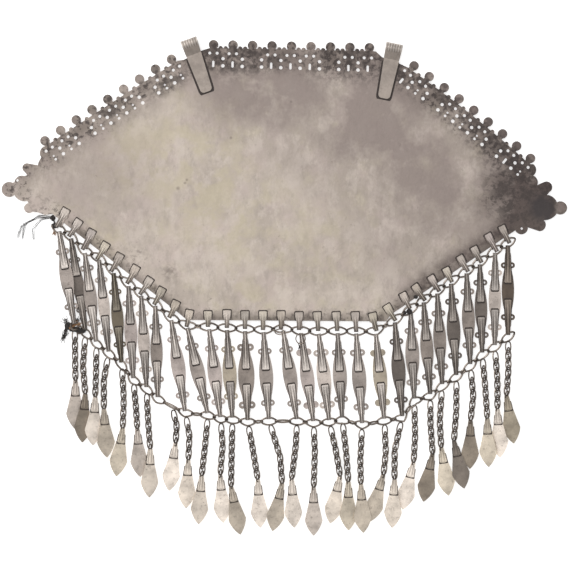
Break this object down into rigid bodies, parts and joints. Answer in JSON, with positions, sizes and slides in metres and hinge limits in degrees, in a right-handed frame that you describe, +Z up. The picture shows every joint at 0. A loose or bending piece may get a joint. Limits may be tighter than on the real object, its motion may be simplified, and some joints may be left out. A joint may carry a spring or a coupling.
{
  "type": "turkmen chest ornament",
  "caption": "Hexagonal silver breast plate shown from the back: pierced scalloped border, two strap hooks, and a fringe of spindle plaques, chains and lozenge pendants.",
  "frame": {"origin": "middle of the whole ornament's outline, at the height of the surface it lies on", "axes": "+X across the wearer, +Y towards the wearer's chin, +Z up, out of the plain back"},
  "size_m": [0.2994, 0.2646, 0.0052],
  "materials": {
    "plate_silver": "tarnished silver sheet",
    "hook_silver": "ribbed silver strip",
    "plaque_silver": "tarnished silver sheet",
    "chain_silver": "dark silver wire",
    "pendant_silver": "tarnished silver sheet",
    "thread": "old cotton thread"
  },
  "bodies": {
    "root": {"plate": "plate_silver", "hook_left": "hook_silver", "hook_right": "hook_silver", "plaque_01": "plaque_silver", "plaque_02": "plaque_silver", "plaque_03": "plaque_silver", "plaque_04": "plaque_silver", "plaque_05": "plaque_silver", "plaque_06": "plaque_silver", "plaque_07": "plaque_silver", "plaque_08": "plaque_silver", "plaque_09": "plaque_silver", "plaque_10": "plaque_silver", "plaque_11": "plaque_silver", "plaque_12": "plaque_silver", "plaque_13": "plaque_silver", "plaque_14": "plaque_silver", "plaque_15": "plaque_silver", "plaque_16": "plaque_silver", "plaque_17": "plaque_silver", "plaque_18": "plaque_silver", "plaque_19": "plaque_silver", "plaque_20": "plaque_silver", "plaque_21": "plaque_silver", "plaque_22": "plaque_silver", "plaque_23": "plaque_silver", "plaque_24": "plaque_silver", "plaque_25": "plaque_silver", "plaque_26": "plaque_silver", "plaque_27": "plaque_silver", "plaque_28": "plaque_silver", "plaque_29": "plaque_silver", "upper_chain": "chain_silver", "lower_chain": "chain_silver", "fringe_left": "chain_silver", "fringe_middle": "chain_silver", "fringe_right": "chain_silver", "pendants_left": "pendant_silver", "pendants_middle": "pendant_silver", "pendants_right": "pendant_silver", "thread_tuft_upper": "thread", "thread_tuft_lower": "thread"}
  },
  "joints": []
}
